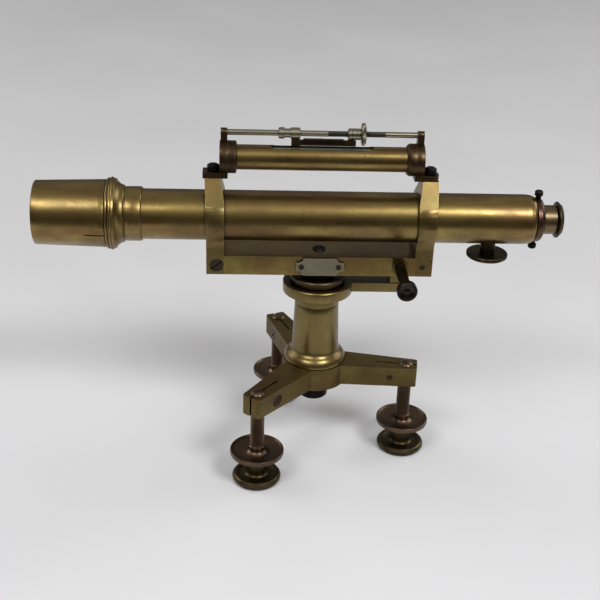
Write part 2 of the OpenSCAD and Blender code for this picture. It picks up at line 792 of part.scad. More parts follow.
module wye_outline() {
    half = beam_w / 2;
    foot = beam_z0 - axis_z;
    pad = [pad_w / 2, pad_rise];
    touch_a = atan2(pad[1], pad[0]) - acos(ring_r / norm(pad));
    fillet_x = half + wye_fillet_r;
    fillet_y = -sqrt(pow(ring_r + wye_fillet_r, 2) - fillet_x * fillet_x);
    touch = [fillet_x, fillet_y] * ring_r / (ring_r + wye_fillet_r);
    circle(r = ring_r);
    translate([-half, foot]) square([2 * half, -foot]);
    for (side = [0, 1]) mirror([side, 0]) {
        polygon([[0, 0], ring_r * [cos(touch_a), sin(touch_a)], pad, [0, pad[1]]]);
        difference() {
            polygon([[0, fillet_y], [half, fillet_y], touch, [0, touch[1]]]);
            translate([fillet_x, fillet_y]) circle(r = wye_fillet_r);
        }
    }
}

// Side view of a wye on the eyepiece's side: the neck under the pad leans outward
module wye_side() {
    pad_x1 = wye_x1 + pad_out;
    shoulder = axis_z + tube_r * 0.5;
    polygon([[wye_x0, beam_z0], [wye_x1, beam_z0], [wye_x1, shoulder], [pad_x1, pad_z],
             [pad_x1 - pad_t, pad_z], [wye_x0, axis_z + tube_r * 0.8]]);
}

module wye(side, head_r, shank_r) {
    gap = tongue_w / 2 + seat;
    color(brass) difference() {
        intersection() {
            translate([side * wye_x - wye_t, 0, axis_z]) rotate([90, 0, 90])
                linear_extrude(2 * wye_t) wye_outline();
            mirror([side < 0 ? 1 : 0, 0, 0]) translate([0, 2 * ring_r, 0]) rotate([90, 0, 0])
                linear_extrude(4 * ring_r) wye_side();
        }
        rod_x(-tube_front, tube_back, tube_r + seat, axis_z);
        block([-wye_x1 - hole_over, -gap, beam_z0 - hole_over],
              [wye_x1 + hole_over, gap, beam_z1 + seat]);
        rod_y(-beam_w, beam_w, shank_r + seat, side * wye_screw_x, fastener_z);
        rod_y(-beam_w, -beam_w / 2 + wye_head_l, head_r + seat, side * wye_screw_x, fastener_z);
        translate([side * bracket_screw_x, 0, pad_z - 6]) cylinder(h = 8, r = bracket_shank_r + seat);
    }
}

module objective_wye() { wye(-1, pivot_head_r, pivot_shank_r); }
module eyepiece_wye() { wye(1, lock_head_r, lock_shank_r); }

module wye_screw(x, head_r, shank_r) {
    face = -beam_w / 2;
    slot_half = head_r / 8;
    color(black_steel) difference() {
        union() {
            rod_y(face + 0.2, face + wye_head_l, head_r, x, fastener_z);
            rod_y(face + wye_head_l, -face - 0.5, shank_r, x, fastener_z);
        }
        translate([x, face, fastener_z]) rotate([0, -40, 0])
            cube([3 * head_r, 1.8, 2 * slot_half], center = true);
    }
}

module wye_pivot_screw() { wye_screw(-wye_screw_x, pivot_head_r, pivot_shank_r); }
module wye_lock_screw() { wye_screw(wye_screw_x, lock_head_r, lock_shank_r); }

// Telescope

module main_tube() {
    front = -tube_front - cell_socket_l + seat;
    color(brass) difference() {
        rod_x(front, tube_back, tube_r, axis_z);
        rod_x(front - hole_over, tube_back + hole_over, tube_bore, axis_z);
        translate([pinion_x, 0, axis_z - tube_r - hole_over])
            cylinder(h = tube_wall + 2 * hole_over, r = pinion_spigot_r + seat);
    }
}

module draw_bush() {
    lip = tube_r - 1.1;
    spigot_l = 8;
    color(brass) to_eye(tube_back) difference() {
        turned([[draw_r + fit, -spigot_l], [tube_bore - seat, -spigot_l], [tube_bore - seat, 0],
                [tube_r, 0], [tube_r - 0.1, bush_lip * 0.35], [tube_r - 0.5, bush_lip * 0.75],
                [lip, bush_lip], [draw_r + fit, bush_lip]]);
    }
}

module objective_cell() {
    neck_l = 9.6;
    flare_r = 7.3;
    flare = arc(cell_r + flare_r + 0.5, neck_l - 0.2, flare_r, 168, 115, 6);
    rear_bead = arc(sleeve_r + 2, cell_l - 3, 1.1, -70, 80, 6);
    front_bead = arc(sleeve_r + 1.7, cell_l - 1, 0.95, -80, 90, 6);
    end = cell_l + sleeve_l;
    color(brass) to_objective(-tube_front) turned(concat(
        [[tube_r + seat, 0], [cell_r - 0.5, 0], [cell_r, 0.9], [cell_r, neck_l]],
        [[cell_r - 0.4, neck_l + 0.3], [cell_r - 0.4, neck_l + 0.7]],
        flare, rear_bead, front_bead,
        [[sleeve_r, cell_l], [sleeve_r, end], [lens_r + seat, end], [lens_r + seat, lens_seat_u]],
        [[tube_bore, lens_seat_u], [tube_bore, cell_socket_l], [tube_r + seat, cell_socket_l]]
    ));
}

module objective_flint() {
    back = lens_seat_u + seat;
    color(clear_glass) to_objective(-tube_front) turned(concat(
        [[0, back], [lens_r, back]],
        reversed(lens_face(inner_curve_r, lens_r, back + flint_l, 1))
    ));
}

module objective_crown() {
    back = lens_seat_u + seat + flint_l + cement_gap;
    color(clear_glass) to_objective(-tube_front) turned(concat(
        lens_face(inner_curve_r, lens_r, back, 1),
        reversed(lens_face(outer_curve_r, lens_r, back + crown_l, -1))
    ));
}

module lens_ring() {
    sag = outer_curve_r - sqrt(pow(outer_curve_r, 2) - pow(lens_r, 2));
    z0 = lens_seat_u + flint_l + crown_l - sag + 0.6;
    color(dark_brass) to_objective(-tube_front) ring(z0, z0 + 2.4, lens_r, lens_r - 2);
}

module sunshade() {
    bore = sleeve_r + fit;
    slit_dir = -110;
    color(brass) to_objective(cell_front - run_gap) difference() {
        turned([[bore, 0], [hood_back_r, 0], [hood_front_r, hood_l - 0.3],
                [hood_front_r - 0.3, hood_l], [hood_front_r - hood_wall, hood_l],
                [bore, sleeve_l + 2]]);
        rotate([0, 0, slit_dir]) block([0, -hood_slit_w / 2, -hole_over],
                                       [hood_back_r + 1, hood_slit_w / 2, hood_slit_l]);
    }
}

// Draw tube, reticle and eyepiece

module draw_tube() {
    inner_r = draw_r - draw_wall;
    collar_l = 5;
    slot_margin = 1;
    color(brass) difference() {
        union() {
            rod_x(draw_x0, draw_x1, draw_r, axis_z);
            rod_x(draw_x0, draw_x0 + collar_l, tube_bore - fit, axis_z);
        }
        rod_x(draw_x0 - hole_over, draw_x1 + hole_over, inner_r, axis_z);
        block([rack_x0 - slot_margin, rack_back_y - seat, axis_z - tube_r],
              [rack_x0 + rack_l + slot_margin, pitch_r + 1.5, axis_z - inner_r + 4.2]);
    }
}

module rack_tooth() {
    half = 0.36 * tooth_pitch;
    top = 0.12 * tooth_pitch;
    polygon([[-half, -root - 0.1], [half, -root - 0.1], [top, tip], [-top, tip]]);
}

module focus_rack() {
    first = floor((rack_x0 - pinion_x) / tooth_pitch) + 1;
    last = ceil((rack_x0 + rack_l - pinion_x) / tooth_pitch) - 2;
    color(dark_brass) translate([0, 0, axis_z + rack_z0]) linear_extrude(rack_h) {
        translate([rack_x0, rack_back_y]) square([rack_l, -pitch_r - root - rack_back_y]);
        for (i = [first:last])
            translate([pinion_x + (i + 0.5) * tooth_pitch, -pitch_r]) rack_tooth();
    }
}

module pinion_tooth() {
    half = 0.3 * tooth_pitch;
    top = 0.12 * tooth_pitch;
    polygon([[-half, -root - 0.2], [half, -root - 0.2], [top, tip], [-top, tip]]);
}

module focus_pinion() {
    color(dark_brass) translate([pinion_x, 0, axis_z]) {
        translate([0, 0, rack_z0 - 0.1]) linear_extrude(rack_h + 0.2) {
            circle(r = pitch_r - root);
            for (i = [0:pinion_teeth - 1])
                rotate([0, 0, 180 + i * 360 / pinion_teeth]) translate([0, pitch_r]) pinion_tooth();
        }
        translate([0, 0, knob_floor_z - 1.6])
            cylinder(h = rack_z0 - knob_floor_z + 1.6, r = pinion_shaft_r);
    }
}

module pinion_bush() {
    color(dark_brass) translate([pinion_x, 0, axis_z]) difference() {
        union() {
            translate([0, 0, bush_z]) cylinder(h = pinion_bush_l + 1.4, r = pinion_bush_r);
            translate([0, 0, bush_z])
                cylinder(h = pinion_bush_l + tube_wall - 0.1, r = pinion_spigot_r);
        }
        difference() {
            rod_x(-pinion_x, pinion_x, tube_r + seat, 0);
            translate([0, 0, -2 * tube_r]) cylinder(h = 2 * tube_r, r = pinion_spigot_r);
        }
        translate([0, 0, bush_z - hole_over])
            cylinder(h = tube_r, r = pinion_shaft_r + fit);
    }
}

module focus_knob() {
    r = focus_knob_r;
    top = knob_top_z;
    low = knob_top_z - focus_knob_h;
    mid = (top + low) / 2;
    floor_r = pinion_bush_r + 1.2;
    color(dark_brass) translate([pinion_x, 0, axis_z]) difference() {
        turned([[0, low - 0.2], [r - 3, low - 0.2], [r - 0.7, low], [r, low + 0.6],
                [r, mid - 0.4], [r - 0.6, mid - 0.1], [r - 0.6, mid + 0.1], [r, mid + 0.4],
                [r, top - 0.6], [r - 0.7, top], [r - 1.6, top - 0.1], [floor_r, knob_floor_z],
                [0, knob_floor_z]]);
        translate([0, 0, knob_floor_z - 1.6]) cylinder(h = 4, r = pinion_shaft_r + seat);
    }
}

module reticle_ring() {
    r = reticle_ring_r;
    l = reticle_ring_l;
    recess = draw_x1 - reticle_x0;
    inner_r = draw_r - draw_wall;
    round_r = 3;
    color(bronze) difference() {
        to_eye(reticle_x0) turned(concat(
            [[draw_r + seat, 0], [r - 0.7, 0], [r, 0.8]],
            arc(r - round_r, l - round_r, round_r, 0, 75, 6),
            [[eye_sleeve_r + seat, l], [eye_sleeve_r + seat, l - 2], [inner_r, l - 2],
             [inner_r, recess], [draw_r + seat, recess]]
        ));
        translate([reticle_screw_x, 0, axis_z - 2 * r])
            cylinder(h = 4 * r, r = reticle_shank_r + seat);
    }
}

module reticle_glass() {
    color(clear_glass) to_eye(reticle_screw_x - 1.2)
        cylinder(h = 2.4, r = draw_r - draw_wall - 2);
}

module reticle_screws() {
    foot = draw_r - draw_wall - 1.9;
    ring = reticle_ring_r;
    top = ring + reticle_screw_out;
    r = reticle_head_r;
    color(black_steel) for (side = [0, 180]) translate([reticle_screw_x, 0, axis_z])
        rotate([side, 0, 0])
            turned([[0, foot], [reticle_shank_r, foot], [reticle_shank_r, ring + 0.2],
                    [reticle_stem_r, ring + 0.3], [reticle_stem_r, top - 3.2], [r, top - 2.8],
                    [r, top - 0.6], [r - 0.5, top], [0, top]]);
}

module eyepiece_sleeve() {
    color(bronze) to_eye(reticle_x1 - 2) ring(0, eye_sleeve_l + 2, eye_sleeve_r, eye_r + fit);
}

module eyepiece_tube() {
    color(dark_brass) to_eye(reticle_x1 - 1.6)
        ring(0, eye_sleeve_l + 1.6 + run_gap + 1.2, eye_r, eye_r - 1);
}

module eyepiece_cap() {
    r = eye_cap_r;
    l = eye_cap_l;
    color(dark_brass) to_eye(eye_end + run_gap) turned([
        [eye_r + seat, 0], [r - 0.9, 0], [r, 0.6], [r, 1.3], [r - 0.8, 2.1], [r - 1.8, l],
        [eye_hole_r + 2.2, l], [eye_hole_r, l - 0.9], [eye_hole_r, 1.3], [eye_r + seat, 1.3]]);
}

// A small lens with one flat face, in the eyepiece tube
module small_lens(x, h, thick) {
    color(clear_glass) to_eye(x)
        turned(concat([[0, 0], [h, 0]], reversed(lens_face(2.2 * h, h, thick, -1))));
}

module field_lens() { small_lens(reticle_x1 - 0.6, eye_r - 1 - seat, 2.8); }
module eye_lens() { small_lens(eye_end - 3.4, eye_r - 1 - seat, 3); }

// Vial, brackets and mirror

// A vial bracket: its foot stands on a wye's pad, its round plate closes the vial's end, and
// the finger above the plate carries the rod
module bracket(side, corner_r) {
    plate_x0 = vial_half + side * vial_shift;
    plate_x1 = plate_x0 + bracket_t;
    foot_x1 = bracket_reach + side * vial_shift;
    half = pad_w / 2;
    mirror([side < 0 ? 1 : 0, 0, 0]) color(dark_brass) difference() {
        union() {
            translate([0, 0, pad_z]) linear_extrude(bracket_foot_h) polygon(concat(
                [[plate_x0, half], [plate_x0, -half]],
                arc(foot_x1 - corner_r, -half + corner_r, corner_r, -90, 0, 6),
                arc(foot_x1 - corner_r, half - corner_r, corner_r, 0, 90, 6)
            ));
            block([plate_x0, -half, pad_z], [plate_x1, half, vial_z]);
            rod_x(plate_x0, plate_x1, vial_end_r, vial_z);
            block([plate_x0 + 0.3, -finger_r, vial_z], [plate_x1 - 0.6, finger_r, rod_z]);
            rod_x(plate_x0 + 0.3, plate_x1 - 0.6, finger_r, rod_z);
        }
        rod_x(plate_x0 - hole_over, plate_x1 + hole_over, rod_r + seat, rod_z);
        translate([bracket_screw_x, 0, pad_z - hole_over])
            cylinder(h = bracket_foot_h + 2 * hole_over, r = bracket_shank_r + seat);
    }
}

module objective_bracket() { bracket(-1, 0.6); }
module eyepiece_bracket() { bracket(1, 3.6); }

module bracket_screws() {
    z = pad_z + bracket_foot_h;
    top = z + bracket_head_h;
    r = bracket_head_r;
    color(black_steel) for (side = [-1, 1]) translate([side * bracket_screw_x, 0, 0])
        turned([[0, pad_z - 5.8], [bracket_shank_r, pad_z - 5.8], [bracket_shank_r, z], [r, z],
                [r, top - 0.9], [r - 1.2, top], [0, top]]);
}

module vial_tube() {
    half = collar_x0 + tube_in_collar;
    window_z = vial_z + sqrt(vial_r * vial_r - window_w * window_w / 4);
    bore = vial_r - vial_wall;
    cut = window_l / 2 - window_w / 2;
    color(brass) translate([vial_shift, 0, 0]) difference() {
        rod_x(-half, half, vial_r, vial_z);
        rod_x(-half - hole_over, half + hole_over, bore, vial_z);
        translate([0, 0, window_z - 1.2]) linear_extrude(vial_r) {
            square([2 * cut, window_w], center = true);
            for (x = [-cut, cut]) translate([x, 0]) circle(d = window_w);
        }
    }
}

module vial_glass() {
    half = glass_l / 2;
    wall = 1.2;
    color(clear_glass) translate([vial_shift, 0, 0]) difference() {
        rod_x(-half, half, glass_r, vial_z);
        rod_x(-half + wall, half - wall, glass_r - wall, vial_z);
    }
}

module vial_plugs() {
    bore = vial_r - vial_wall - seat;
    color(cork) for (side = [-1, 1]) {
        x = vial_shift + side * (glass_l / 2 + plug_l / 2);
        rod_x(x - plug_l / 2, x + plug_l / 2, bore, vial_z);
    }
}

// Turned cap over one end of the vial tube; the shoulder is its sloping inner end
module vial_collar(side, shoulder) {
    r = vial_end_r;
    l = vial_collar_l;
    mirror([side < 0 ? 1 : 0, 0, 0]) color(dark_brass)
        translate([collar_x0 + side * vial_shift, 0, vial_z]) rotate([0, 90, 0])
            turned([[0, l], [r, l], [r, shoulder], [vial_r + 1, 0], [vial_r + seat, 0],
                    [vial_r + seat, tube_in_collar], [0, tube_in_collar]]);
}

module objective_collar() { vial_collar(-1, 0.6); }
module eyepiece_collar() { vial_collar(1, 1.6); }

module mirror_rod() {
    end = vial_half + bracket_t - 1;
    color(nickel_silver) translate([vial_shift, 0, 0]) rod_x(-end, end, rod_r, rod_z);
}

// A turned hub on the rod from x0, with a row of [radius, length] steps
module rod_hub(x0, steps) {
    outline = [for (i = [0:len(steps) - 1], j = [0, 1]) [steps[i][0], sum_lengths(steps, i + j)]];
    color(nickel_silver) translate([x0, 0, rod_z]) rotate([0, 90, 0])
        turned(concat([[hub_bore, 0]], outline, [[hub_bore, sum_lengths(steps, len(steps))]]));
}

// Sum of the lengths of the first n steps
function sum_lengths(steps, n) = n == 0 ? 0 : steps[n - 1][1] + sum_lengths(steps, n - 1);

front_steps = [[rod_hub_r - 0.3, 0.6], [rod_hub_r, 3], [rod_hub_r - 0.7, 3.6],
               [rod_hub_r - 0.2, 0.6], [rod_hub_r, 4.8], [rod_hub_r - 0.5, 0.6]];
rear_steps = [[rod_hub_r - 0.8, 0.6], [rod_hub_r + 0.1, 2], [rod_hub_r - 0.3, 0.4],
              [rod_hub_r + 0.1, 2], [rod_hub_r - 0.3, 0.4], [rod_hub_r, 2.2]];
front_hub_x1 = frame_x0 + 5.4;
front_hub_x0 = front_hub_x1 - sum_lengths(front_steps, len(front_steps));
rear_hub_x0 = frame_x1 - 5.2;
rear_hub_x1 = rear_hub_x0 + sum_lengths(rear_steps, len(rear_steps));

module mirror_front_hub() { rod_hub(front_hub_x0, front_steps); }
module mirror_rear_hub() { rod_hub(rear_hub_x0, rear_steps); }

module mirror_frame() {
    half = frame_t / 2;
    top = frame_top;
    ear = frame_ear;
    chamfer = frame_chamfer;
    color(dark_brass) difference() {
        union() {
            translate([0, half, rod_z]) rotate([90, 0, 0]) linear_extrude(frame_t)
                polygon([[frame_x0, -frame_drop], [frame_x1, -frame_drop],
                         [frame_x1, top - chamfer], [frame_x1 - ear - chamfer, top - chamfer],
                         [frame_x1 - ear - 2 * chamfer, top], [frame_x0 + ear + 2 * chamfer, top],
                         [frame_x0 + ear + chamfer, top - chamfer], [frame_x0, top - chamfer]]);
            block([frame_x0, -half - 0.6, rod_z - frame_drop], [frame_x0 + ear, half + 0.6, rod_z]);
            block([frame_x1 - ear, -half, rod_z - frame_drop], [frame_x1 - 1, half, rod_z]);
        }
        rod_x(frame_x0 - hole_over, 0, rod_hub_r + seat, rod_z);
        rod_x(0, frame_x1 + hole_over, rod_hub_r + 0.1 + seat, rod_z);
        block([frame_x0 + ear + 1, -half - hole_over, rod_z - frame_drop + frame_lip],
              [frame_x1 - ear - 1, -half + mirror_depth, rod_z + top - chamfer]);
    }
}

module mirror_glass() {
    half = frame_t / 2;
    end = frame_ear + 1 + seat;
    color(silvered_glass)
        block([frame_x0 + end, -half + 0.1, rod_z - frame_drop + frame_lip + seat],
              [frame_x1 - end, -half + mirror_depth, rod_z + frame_top - frame_chamfer - seat]);
}

module thumb_nut() {
    r = thumb_nut_r;
    l = thumb_nut_l;
    color(nickel_silver) translate([rear_hub_x1 + run_gap, 0, rod_z]) rotate([0, 90, 0])
        difference() {
            turned([[0, 0], [r - 2.6, 0], [r - 0.6, 0.5], [r, 1], [r, l - 1], [r - 0.6, l - 0.5],
                    [r - 2.6, l], [0, l]]);
            translate([0, 0, -hole_over]) cylinder(h = l + 2 * hole_over, r = rod_r + fit);
        }
}

tribrach();
column();
arm_clamp_screws();
tripod_nut();
foot_plate_a();
foot_plate_b();
foot_plate_c();
foot_screw_a();
foot_screw_b();
foot_screw_c();
clamp_collar();
tangent_nut();
tangent_screw();
tangent_knob();
spindle();
spindle_nut();
spindle_screw();
beam();
tangent_bush();
nameplate();
nameplate_screws();
objective_wye();
eyepiece_wye();
wye_pivot_screw();
wye_lock_screw();
main_tube();
objective_cell();
objective_crown();
objective_flint();
lens_ring();
sunshade();
draw_bush();
pinion_bush();
focus_pinion();
focus_knob();
draw_tube();
focus_rack();
reticle_ring();
reticle_glass();
reticle_screws();
eyepiece_sleeve();
eyepiece_tube();
eyepiece_cap();
field_lens();
eye_lens();
objective_bracket();
eyepiece_bracket();
bracket_screws();
vial_tube();
vial_glass();
vial_plugs();
objective_collar();
eyepiece_collar();
mirror_rod();
mirror_frame();
mirror_glass();
mirror_front_hub();
mirror_rear_hub();
thumb_nut();
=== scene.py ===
"""The looks of a brass surveying level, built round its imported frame.

Turned, knurled and threaded pieces are made here with their fine detail, the other pieces are
the frame's own with their edges broken, and every piece gets the finish of the real one.
Lengths in the tables are in millimetres, and everything else is in metres.
"""

import json
import math

import bmesh
import bpy
from mathutils import Matrix, Vector

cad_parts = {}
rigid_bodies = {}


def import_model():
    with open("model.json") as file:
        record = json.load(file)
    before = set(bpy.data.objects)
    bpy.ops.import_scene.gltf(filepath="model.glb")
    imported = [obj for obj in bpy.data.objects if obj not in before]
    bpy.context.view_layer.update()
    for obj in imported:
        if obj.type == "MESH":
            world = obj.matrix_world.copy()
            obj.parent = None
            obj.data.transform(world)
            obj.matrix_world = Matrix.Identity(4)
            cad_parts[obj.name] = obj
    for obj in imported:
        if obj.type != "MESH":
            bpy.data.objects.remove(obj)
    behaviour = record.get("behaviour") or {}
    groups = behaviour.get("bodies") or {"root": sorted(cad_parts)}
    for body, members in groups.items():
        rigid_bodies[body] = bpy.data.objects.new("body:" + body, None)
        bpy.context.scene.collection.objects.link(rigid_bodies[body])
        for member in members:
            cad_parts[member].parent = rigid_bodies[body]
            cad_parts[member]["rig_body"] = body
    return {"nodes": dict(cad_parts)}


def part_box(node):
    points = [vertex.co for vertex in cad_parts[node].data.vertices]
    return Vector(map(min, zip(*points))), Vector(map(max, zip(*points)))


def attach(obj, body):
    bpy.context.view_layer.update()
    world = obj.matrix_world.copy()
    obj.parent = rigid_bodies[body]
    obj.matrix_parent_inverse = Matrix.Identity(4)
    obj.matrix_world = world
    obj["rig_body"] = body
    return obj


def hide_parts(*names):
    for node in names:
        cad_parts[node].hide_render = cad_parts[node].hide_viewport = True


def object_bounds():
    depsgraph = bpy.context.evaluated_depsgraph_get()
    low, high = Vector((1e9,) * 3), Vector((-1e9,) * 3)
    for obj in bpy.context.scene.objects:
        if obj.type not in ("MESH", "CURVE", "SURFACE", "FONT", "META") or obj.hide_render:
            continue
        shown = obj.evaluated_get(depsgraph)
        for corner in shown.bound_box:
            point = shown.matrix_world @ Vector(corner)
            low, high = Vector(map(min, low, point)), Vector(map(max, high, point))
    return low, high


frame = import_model()
cad_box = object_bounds()
nodes = frame["nodes"]

MM = 0.001
UP = (0, 0, 1)
TO_EYE = (1, 0, 0)


def middle(node):
    """The middle of a node's box."""
    low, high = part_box(node)
    return (low + high) / 2


GROUND = cad_box[0].z
AXIS_Z = middle("main_tube").z
VIAL = middle("vial_tube")
ROD = middle("mirror_rod")
FOCUS = middle("focus_knob")

# Colours and nodes


def linear(hex_colour):
    """The linear colour of an sRGB colour written as six hex digits."""
    shares = [int(hex_colour[i:i + 2], 16) / 255 for i in (0, 2, 4)]
    return [s / 12.92 if s <= 0.04045 else ((s + 0.055) / 1.055) ** 2.4 for s in shares] + [1]


def add(tree, kind, inputs=(), **settings):
    """A new node with its settings; each input is a value or the output that feeds it."""
    node = tree.nodes.new(kind)
    stops = settings.pop("stops", None)
    for name, value in settings.items():
        setattr(node, name, value)
    for socket, value in dict(inputs).items():
        if isinstance(value, bpy.types.NodeSocket):
            tree.links.new(value, node.inputs[socket])
        else:
            node.inputs[socket].default_value = value
    if stops:
        ramp = node.color_ramp.elements
        while len(ramp) < len(stops):
            ramp.new(0.5)
        for element, (place, colour) in zip(ramp, stops):
            element.position = place
            element.color = linear(colour) if isinstance(colour, str) else [colour] * 3 + [1]
    return node


def new_material(name):
    """An empty material with its tree, its shader and its place on the piece."""
    material = bpy.data.materials.new(name)
    material.use_nodes = True
    tree = material.node_tree
    shader = tree.nodes["Principled BSDF"]
    place = add(tree, "ShaderNodeTexCoord").outputs["Object"]
    return material, tree, shader, place


def noise(tree, place, size_mm, detail=3, rough=0.55, stretch=(1, 1, 1), stops=((0, 0), (1, 1))):
    """A cloudy pattern whose patches are about size_mm across, through a ramp."""
    moved = add(tree, "ShaderNodeMapping", {"Vector": place, "Scale": stretch})
    cloud = add(tree, "ShaderNodeTexNoise",
                {"Vector": moved.outputs[0], "Scale": 1 / (size_mm * MM), "Detail": detail,
                 "Roughness": rough})
    return add(tree, "ShaderNodeValToRGB", {"Fac": cloud.outputs["Fac"]}, stops=stops).outputs[0]


def mixed(tree, share, a, b, blend="MIX"):
    """Two colours mixed by a share, a value or an output."""
    node = add(tree, "ShaderNodeMix", data_type="RGBA", blend_type=blend)
    for socket, value in ((0, share), (6, a), (7, b)):
        if isinstance(value, bpy.types.NodeSocket):
            tree.links.new(value, node.inputs[socket])
        else:
            node.inputs[socket].default_value = value
    return node.outputs[2]


def old_metal(name, clean, tarnished, dark, rough, turned_along=None, worn=None, spots=0.5,
              patina_and_shade_mm=3.0, lacquer=0.0, stain="6a4630", stained=0.42):
    """A metal with years of tarnish.

    Clouds some 40 mm across go from clean to tarnished, spots 1.6 mm across are dark, faces near
    other faces darken over a given distance, as patina in narrow crevices and as painted shade
    under other parts where that distance is long, and edges wear to the worn colour. Turned pieces
    carry the rings that the tool left, and flat ones the grain of the file; both are drawn 0.4 mm
    apart, coarser than the real ones, so that they show. Lacquer adds a thin clear shine that
    pales the highlights.
    Stains some 9 mm wide, drawn out along the piece as a cloth leaves them, shift the hue, at
    their strongest by the share given as stained.
    """
    material, tree, shader, place = new_material(name)
    clouds = noise(tree, place, 40, 5, 0.62, stops=((0.36, 0), (0.66, 1)))
    speckle = noise(tree, place, 1.6, 3, 0.6, stops=((0.58, 0), (0.72, 1)))
    patches = noise(tree, place, 5, 4, 0.6, stops=((0.42, 0), (0.62, 1)))
    fine, drawn = 1.0, 0.02
    stretch = {None: (fine, 0.25, fine), "x": (fine, drawn, drawn), "y": (drawn, fine, drawn),
               "z": (drawn, drawn, fine)}[turned_along]
    lines = noise(tree, place, 0.4, 2, 0.5, stretch)
    drawn_out = {None: (0.5, 0.5, 0.5), "x": (0.18, 1, 1), "y": (1, 0.18, 1),
                 "z": (1, 1, 0.3)}[turned_along]
    stains = noise(tree, place, 9, 6, 0.65, drawn_out, stops=((0.40, 0), (0.70, stained)))
    colour = mixed(tree, clouds, linear(clean), linear(tarnished))
    colour = mixed(tree, stains, colour, linear(stain))
    darker = add(tree, "ShaderNodeMath", {0: speckle, 1: patches}, operation="MULTIPLY")
    darker = add(tree, "ShaderNodeMath", {0: darker.outputs[0], 1: spots}, operation="MULTIPLY")
    colour = mixed(tree, darker.outputs[0], colour, linear(dark))
    hollow = add(tree, "ShaderNodeAmbientOcclusion", {"Distance": patina_and_shade_mm * MM}, samples=6)
    open_share = add(tree, "ShaderNodeValToRGB", {"Fac": hollow.outputs["AO"]},
                     stops=((0.25, 0), (0.8, 1)))
    colour = mixed(tree, open_share.outputs[0], linear(dark), colour)
    if worn:
        soft = add(tree, "ShaderNodeBevel", {"Radius": 0.5 * MM}, samples=4)
        flat = add(tree, "ShaderNodeNewGeometry")
        bend = add(tree, "ShaderNodeVectorMath",
                   {0: soft.outputs[0], 1: flat.outputs["True Normal"]}, operation="DOT_PRODUCT")
        edge = add(tree, "ShaderNodeValToRGB", {"Fac": bend.outputs["Value"]},
                   stops=((0.80, 1), (0.985, 0)))
        share = add(tree, "ShaderNodeMath", {0: edge.outputs[0], 1: patches},
                    operation="MULTIPLY")
        colour = mixed(tree, share.outputs[0], colour, linear(worn))
    tree.links.new(colour, shader.inputs["Base Color"])
    shader.inputs["Metallic"].default_value = 1
    shader.inputs["Coat Weight"].default_value = lacquer
    shader.inputs["Coat Roughness"].default_value = 0.25
    roughness = add(tree, "ShaderNodeMapRange",
                    {"Value": clouds, "To Min": rough - 0.05, "To Max": rough + 0.13})
    rubbed = add(tree, "ShaderNodeMath", {0: lines, 1: 0.10, 2: roughness.outputs[0]},
                 operation="MULTIPLY_ADD")
    tree.links.new(rubbed.outputs[0], shader.inputs["Roughness"])
    relief = add(tree, "ShaderNodeMath", {0: lines, 1: 0.5, 2: speckle}, operation="MULTIPLY_ADD")
    bump = add(tree, "ShaderNodeBump", {"Height": relief.outputs[0], "Strength": 0.25,
                                        "Distance": 0.03 * MM})
    tree.links.new(bump.outputs[0], shader.inputs["Normal"])
    return material


# Lacquered brass, turned and left to age: olive brown where the lacquer holds, pale where hands
# have rubbed it, nearly black in the corners
BRASS = {"dark": "241b13", "lacquer": 0.3}
tube_brass = old_metal("aged_brass_turned_lengthwise", "978349", "6c5c34", rough=0.26,
                       turned_along="x", stained=0.7, **BRASS)
column_brass = old_metal("aged_brass_turned_upright", "7f7040", "665931", rough=0.30,
                         turned_along="z", spots=0.7, **BRASS)
# The same brass under the beam, with painted shade: faces within 15 mm of other parts darken to
# near black for the beam's shadow, and the spindle's disc is painted darker, its open faces as
# well
shaded_brass = old_metal("aged_brass_painted_shade_under_beam", "8b7c47", "6b5d35", "080706", 0.28, lacquer=0.3,
                         turned_along="z", patina_and_shade_mm=15, worn="b8a166")
# The spindle's brass in darker colours, darkening over 15 mm: painted shade for the beam's shadow
# on its disc
spindle_brass_painted_shade = old_metal("aged_brass_painted_shade_spindle", "5c5032", "443b26", "080706", 0.34, lacquer=0.2,
                       turned_along="z", patina_and_shade_mm=15)
# Castings, filed flat and rubbed with emery: duller and greener, and on the base duller still
wye_brass = old_metal("aged_brass_filed", "80713f", "665931", "241b13", 0.28, worn="c2ac70",
                      spots=0.8, stained=0.6, patina_and_shade_mm=6, lacquer=0.25)
base_brass = old_metal("aged_brass_rubbed", "776a40", "5d5232", "241b13", 0.42, worn="a08c58",
                       spots=0.8)
# The beam, ground flat and polished, so that its top mirrors the tube
beam_brass = old_metal("aged_brass_ground", "8d7b43", "705f34", "241b13", 0.12, worn="c8b274",
                       spots=0.8, stained=0.6, lacquer=0.2)
# Bronzed brass: a thin brown chemical coat that lets the metal through on the edges
brown_coat = old_metal("bronzed_brass", "5a4930", "3b2f20", "17120c", 0.32, worn="7d683f",
                       stain="4a3022", lacquer=0.15)
# Its 8 mm of darkening is painted shade, deepest in the foot plates' dishes under the knobs of the
# levelling screws
green_coat = old_metal("bronzed_brass_greenish", "544b32", "383022", "100e0b", 0.30,
                       turned_along="z", patina_and_shade_mm=8, worn="8f8454", stain="3e2c20")
# Copper-rich bronze, handled for years: reddish brown with a soft shine, and darker where the
# piece is turned crosswise and seldom touched
screw_bronze = old_metal("handled_bronze", "6a5743", "4a3c30", "1a130e", 0.26, turned_along="z",
                         worn="8c7258", stain="4c382b", lacquer=0.15)
lengthwise_bronze = old_metal("handled_bronze_lengthwise", "604836", "443327", "1a130e", 0.28,
                              turned_along="x", worn="8c7054", stain="4a3226", lacquer=0.2)
cross_bronze = old_metal("handled_bronze_crosswise", "4c3a2e", "352820", "120e0a", 0.26,
                         turned_along="y", worn="7c604a", lacquer=0.15)
